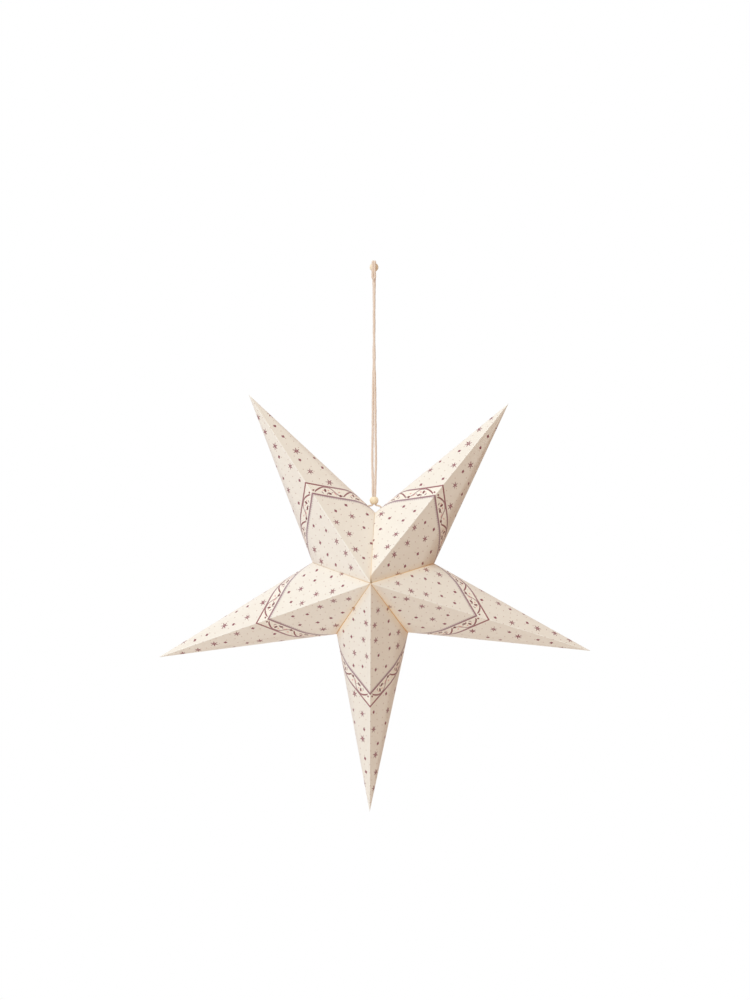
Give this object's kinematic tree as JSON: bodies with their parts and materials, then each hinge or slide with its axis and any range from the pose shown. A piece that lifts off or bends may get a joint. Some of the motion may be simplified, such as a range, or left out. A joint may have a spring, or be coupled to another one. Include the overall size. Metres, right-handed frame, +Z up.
{
  "type": "hanging paper star",
  "caption": "Hollow five-pointed folded paper star in a small star print, hung by a doubled cotton string with wooden beads and a hanging loop.",
  "frame": {"origin": "top of the hanging loop, where a hook holds it", "axes": "+Z up along the string, +X to the star's right as seen from its front, the star faces -Y"},
  "size_m": [0.4756, 0.1396, 0.6075],
  "materials": {
    "printed_paper": "matt uncoated paper",
    "cotton_string": "twisted cotton",
    "bead_wood": "smooth sanded wood"
  },
  "bodies": {
    "string": {"hanging_string": "cotton_string"},
    "upper_bead": {"upper_bead": "bead_wood"},
    "lower_bead": {"lower_bead": "bead_wood"},
    "string_ends": {"tie_left": "cotton_string", "tie_right": "cotton_string"},
    "star": {"point_upper_left": "printed_paper", "point_left": "printed_paper", "point_bottom": "printed_paper", "point_right": "printed_paper", "point_upper_right": "printed_paper"}
  },
  "joints": [
    {"name": "star_turn", "type": "hinge", "parent": "string", "child": "string_ends", "pos_m": [0, 0, -0.2662], "axis": [0, 0, 1], "range_deg": [-180, 180]},
    {"name": "star_rock", "type": "hinge", "parent": "string_ends", "child": "star", "pos_m": [0, 0, -0.27337], "axis": [1, 0, 0], "range_deg": [-20, 20]},
    {"name": "lower_bead_slide", "type": "slide", "parent": "string", "child": "lower_bead", "axis": [0, 0, 1], "range_m": [0, 0.15]},
    {"name": "upper_bead_slide", "type": "slide", "parent": "string", "child": "upper_bead", "axis": [0, 0, -1], "range_m": [0, 0.08]}
  ]
}
